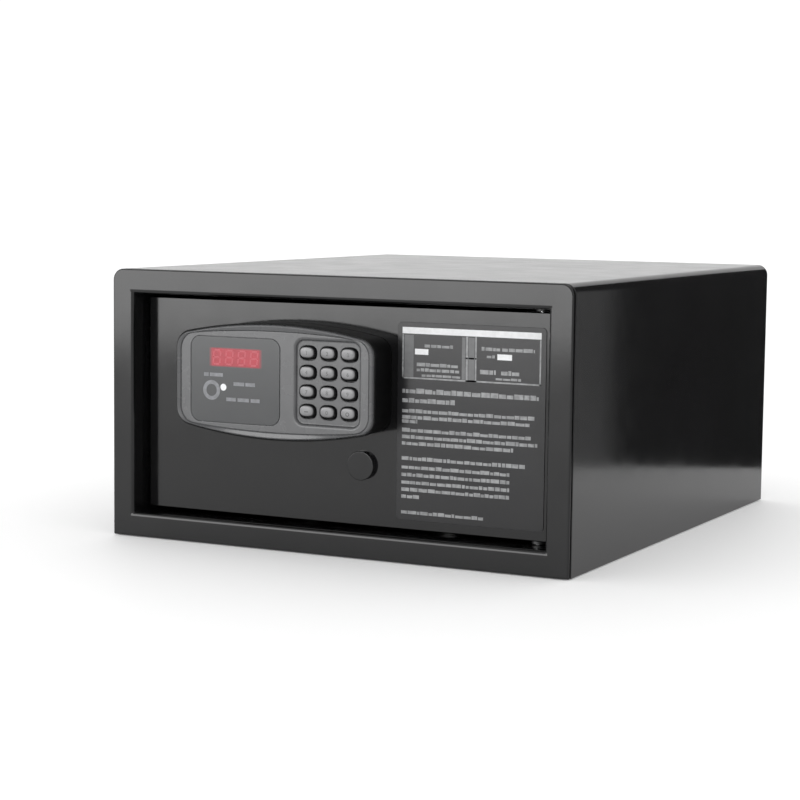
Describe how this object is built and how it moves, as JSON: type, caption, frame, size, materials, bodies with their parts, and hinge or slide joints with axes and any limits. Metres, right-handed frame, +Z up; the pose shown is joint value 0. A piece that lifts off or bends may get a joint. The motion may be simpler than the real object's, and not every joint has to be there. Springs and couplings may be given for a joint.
{
  "type": "in-room safe",
  "caption": "Compact black steel hotel room safe: bent-sheet cabinet, recessed hinged door with keypad and display panel, motor-driven live bolts and a lined interior.",
  "frame": {"origin": "centre of the cabinet's underside (the control panel stands 10 mm proud of the front plane and doesn't move it)", "axes": "-Y out of the door, +X to the hinge side on the right as seen from the front, +Z up"},
  "size_m": [0.37, 0.44, 0.2],
  "materials": {
    "cabinet_coat": "satin black powder coat with a fine texture",
    "door_coat": "satin black powder coat with a fine texture",
    "bezel_plastic": "moulded dark grey plastic, satin",
    "housing_plastic": "moulded black plastic, matt",
    "key_rubber": "grey silicone rubber, satin",
    "lens_plastic": "smoked plastic window, gloss",
    "led_red": "red display filter",
    "label_film": "printed film, satin",
    "zinc_plate": "zinc plated steel",
    "bright_steel": "ground steel",
    "brass": "turned brass",
    "white_nylon": "moulded nylon",
    "board_green": "green solder resist",
    "black_plastic": "moulded black plastic",
    "cell_wrap": "printed sleeve, plain",
    "cable_pvc": "black PVC sheath",
    "grey_felt": "needle felt"
  },
  "bodies": {
    "cabinet": {"body_wrap": "cabinet_coat", "front_frame": "cabinet_coat", "base_plate": "cabinet_coat", "back_panel": "cabinet_coat", "floor_mat": "grey_felt", "hinge_pin_top": "bright_steel", "hinge_pin_bottom": "bright_steel", "hinge_washer_top": "black_plastic", "hinge_washer_bottom": "black_plastic"},
    "door": {"door_plate": "door_coat", "hinge_bracket_top": "zinc_plate", "hinge_bracket_bottom": "zinc_plate", "bolt_guide": "zinc_plate", "inner_cover": "door_coat", "cover_screw_1": "zinc_plate", "cover_screw_2": "zinc_plate", "cover_screw_3": "zinc_plate", "cover_screw_4": "zinc_plate", "panel_housing": "housing_plastic", "panel_bezel": "bezel_plastic", "display_lens": "lens_plastic", "display_module": "led_red", "circuit_board": "board_green", "keypad_mat": "key_rubber", "panel_screw_left": "zinc_plate", "panel_screw_right": "zinc_plate", "instruction_label": "label_film", "override_cylinder": "zinc_plate", "cylinder_nut": "zinc_plate", "gearmotor": "zinc_plate", "motor_bracket": "zinc_plate", "motor_cable": "cable_pvc", "battery_box": "black_plastic", "battery_cell_1": "cell_wrap", "battery_cell_2": "cell_wrap", "battery_cell_3": "cell_wrap", "battery_cell_4": "cell_wrap"},
    "bolt_carriage": {"live_bolt_lower": "bright_steel", "live_bolt_upper": "bright_steel", "bolt_carrier": "zinc_plate", "gear_rack": "white_nylon"},
    "pinion": {"drive_pinion": "white_nylon", "motor_shaft": "bright_steel"},
    "override_core": {"cylinder_core": "brass", "override_cam": "zinc_plate"},
    "override_cap": {"override_cap": "door_coat"},
    "battery_lid": {"battery_lid": "black_plastic"},
    "key_1": {"key_1": "key_rubber"},
    "key_2": {"key_2": "key_rubber"},
    "key_3": {"key_3": "key_rubber"},
    "key_4": {"key_4": "key_rubber"},
    "key_5": {"key_5": "key_rubber"},
    "key_6": {"key_6": "key_rubber"},
    "key_7": {"key_7": "key_rubber"},
    "key_8": {"key_8": "key_rubber"},
    "key_9": {"key_9": "key_rubber"},
    "key_clear": {"key_clear": "key_rubber"},
    "key_0": {"key_0": "key_rubber"},
    "key_lock": {"key_lock": "key_rubber"}
  },
  "joints": [
    {"name": "door_hinge", "type": "hinge", "parent": "cabinet", "child": "door", "pos_m": [0.152, -0.189, 0.1], "axis": [0, 0, 1], "range_deg": [0, 100]},
    {"name": "bolt_slide", "type": "slide", "parent": "door", "child": "bolt_carriage", "axis": [-1, 0, 0], "range_m": [0, 0.016]},
    {"name": "pinion_spin", "type": "hinge", "parent": "door", "child": "pinion", "pos_m": [-0.035, -0.1632, 0.111], "axis": [0, 1, 0], "range_deg": [0, 131]},
    {"name": "override_turn", "type": "hinge", "parent": "door", "child": "override_core", "pos_m": [0.0175, -0.197, 0.0645], "axis": [0, -1, 0], "range_deg": [0, 90]},
    {"name": "cap_pull", "type": "slide", "parent": "door", "child": "override_cap", "axis": [0, -1, 0], "range_m": [0, 0.02]},
    {"name": "battery_lid_slide", "type": "slide", "parent": "door", "child": "battery_lid", "axis": [-1, 0, 0], "range_m": [0, 0.066]},
    {"name": "key_1_press", "type": "slide", "parent": "door", "child": "key_1", "axis": [0, 1, 0], "range_m": [0, 0.0015], "stiffness_N_per_m": 400},
    {"name": "key_2_press", "type": "slide", "parent": "door", "child": "key_2", "axis": [0, 1, 0], "range_m": [0, 0.0015], "stiffness_N_per_m": 400},
    {"name": "key_3_press", "type": "slide", "parent": "door", "child": "key_3", "axis": [0, 1, 0], "range_m": [0, 0.0015], "stiffness_N_per_m": 400},
    {"name": "key_4_press", "type": "slide", "parent": "door", "child": "key_4", "axis": [0, 1, 0], "range_m": [0, 0.0015], "stiffness_N_per_m": 400},
    {"name": "key_5_press", "type": "slide", "parent": "door", "child": "key_5", "axis": [0, 1, 0], "range_m": [0, 0.0015], "stiffness_N_per_m": 400},
    {"name": "key_6_press", "type": "slide", "parent": "door", "child": "key_6", "axis": [0, 1, 0], "range_m": [0, 0.0015], "stiffness_N_per_m": 400},
    {"name": "key_7_press", "type": "slide", "parent": "door", "child": "key_7", "axis": [0, 1, 0], "range_m": [0, 0.0015], "stiffness_N_per_m": 400},
    {"name": "key_8_press", "type": "slide", "parent": "door", "child": "key_8", "axis": [0, 1, 0], "range_m": [0, 0.0015], "stiffness_N_per_m": 400},
    {"name": "key_9_press", "type": "slide", "parent": "door", "child": "key_9", "axis": [0, 1, 0], "range_m": [0, 0.0015], "stiffness_N_per_m": 400},
    {"name": "key_clear_press", "type": "slide", "parent": "door", "child": "key_clear", "axis": [0, 1, 0], "range_m": [0, 0.0015], "stiffness_N_per_m": 400},
    {"name": "key_0_press", "type": "slide", "parent": "door", "child": "key_0", "axis": [0, 1, 0], "range_m": [0, 0.0015], "stiffness_N_per_m": 400},
    {"name": "key_lock_press", "type": "slide", "parent": "door", "child": "key_lock", "axis": [0, 1, 0], "range_m": [0, 0.0015], "stiffness_N_per_m": 400}
  ],
  "couplings": [
    {"joint": "pinion_spin", "follows": "bolt_slide", "rad_per_m": 142.86}
  ]
}
